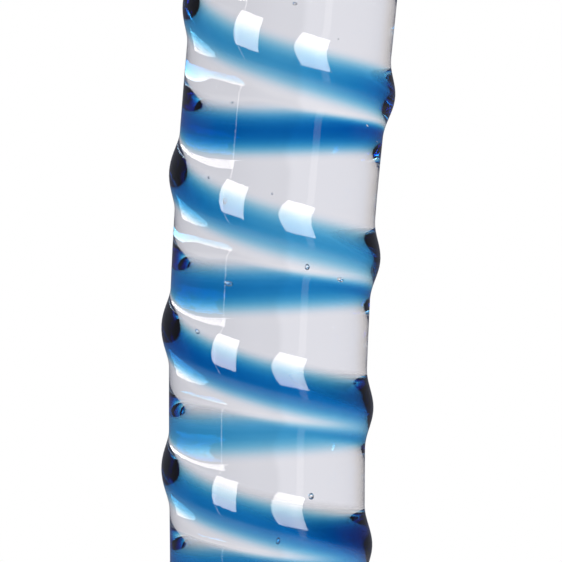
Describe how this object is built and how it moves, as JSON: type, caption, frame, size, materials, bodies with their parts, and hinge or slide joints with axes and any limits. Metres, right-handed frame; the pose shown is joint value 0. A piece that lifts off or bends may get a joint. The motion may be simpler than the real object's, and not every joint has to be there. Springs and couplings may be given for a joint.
{
  "type": "glass dip pen",
  "caption": "Clear glass dip pen holder with a raised blue spiral, standing on a flat tail, and a twisted fluted glass nib that pulls out of a soft sleeve.",
  "frame": {"origin": "middle of the ground flat on the tail, on the pen's axis", "axes": "+Z along the pen's axis towards the nib; the blue trail starts at +X"},
  "size_m": [0.0132, 0.0132, 0.1764],
  "materials": {
    "clear_glass": "polished",
    "blue_glass": "polished",
    "nib_glass": "polished",
    "soft_silicone": "satin"
  },
  "bodies": {
    "pen": {"barrel_core": "clear_glass", "spiral_trail": "blue_glass", "spiral_overlay": "clear_glass", "tail_foot": "clear_glass", "tail_ring": "blue_glass", "grip_ring": "blue_glass", "socket_sleeve": "soft_silicone"},
    "nib": {"glass_nib": "nib_glass", "nib_collar": "blue_glass", "seat_washer": "soft_silicone"}
  },
  "joints": [
    {"name": "nib_pull", "type": "slide", "parent": "pen", "child": "nib", "axis": [0, 0, 1], "range_m": [0, 0.017]}
  ]
}
